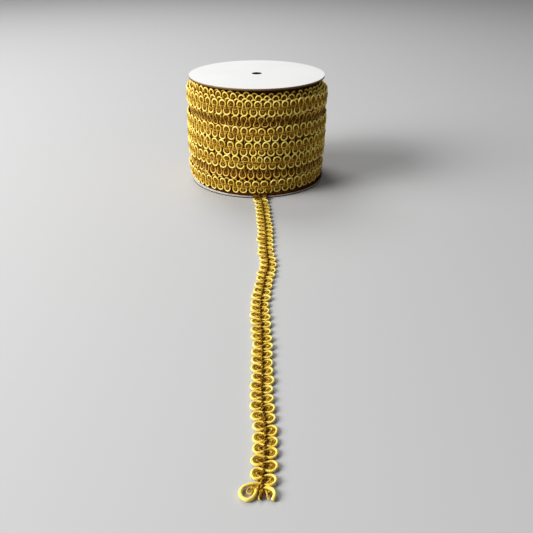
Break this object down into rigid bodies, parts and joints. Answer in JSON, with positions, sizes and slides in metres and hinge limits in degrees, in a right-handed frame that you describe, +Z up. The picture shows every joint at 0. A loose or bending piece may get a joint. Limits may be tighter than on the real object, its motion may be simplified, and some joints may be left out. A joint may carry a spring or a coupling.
{
  "type": "scroll gimp braid trim on a card spool",
  "caption": "Narrow gold scroll gimp braid of bound cord loops, wound on a spool with white card discs, its loose end laid out in front.",
  "frame": {"origin": "centre of the spool's underside, on the surface it stands on", "axes": "+Z up along the spool's axis, -Y towards the braid's loose end, +X to the right of someone facing the loose end's side"},
  "size_m": [0.0668, 0.2432, 0.0495],
  "materials": {
    "card": "white card with a smooth matte face",
    "braid": "gold viscose gimp cord with a soft silky sheen, bound with dark brown chain thread"
  },
  "bodies": {
    "root": {"disc_top": "card", "disc_bottom": "card", "braid_roll": "braid", "braid_end": "braid"}
  },
  "joints": []
}
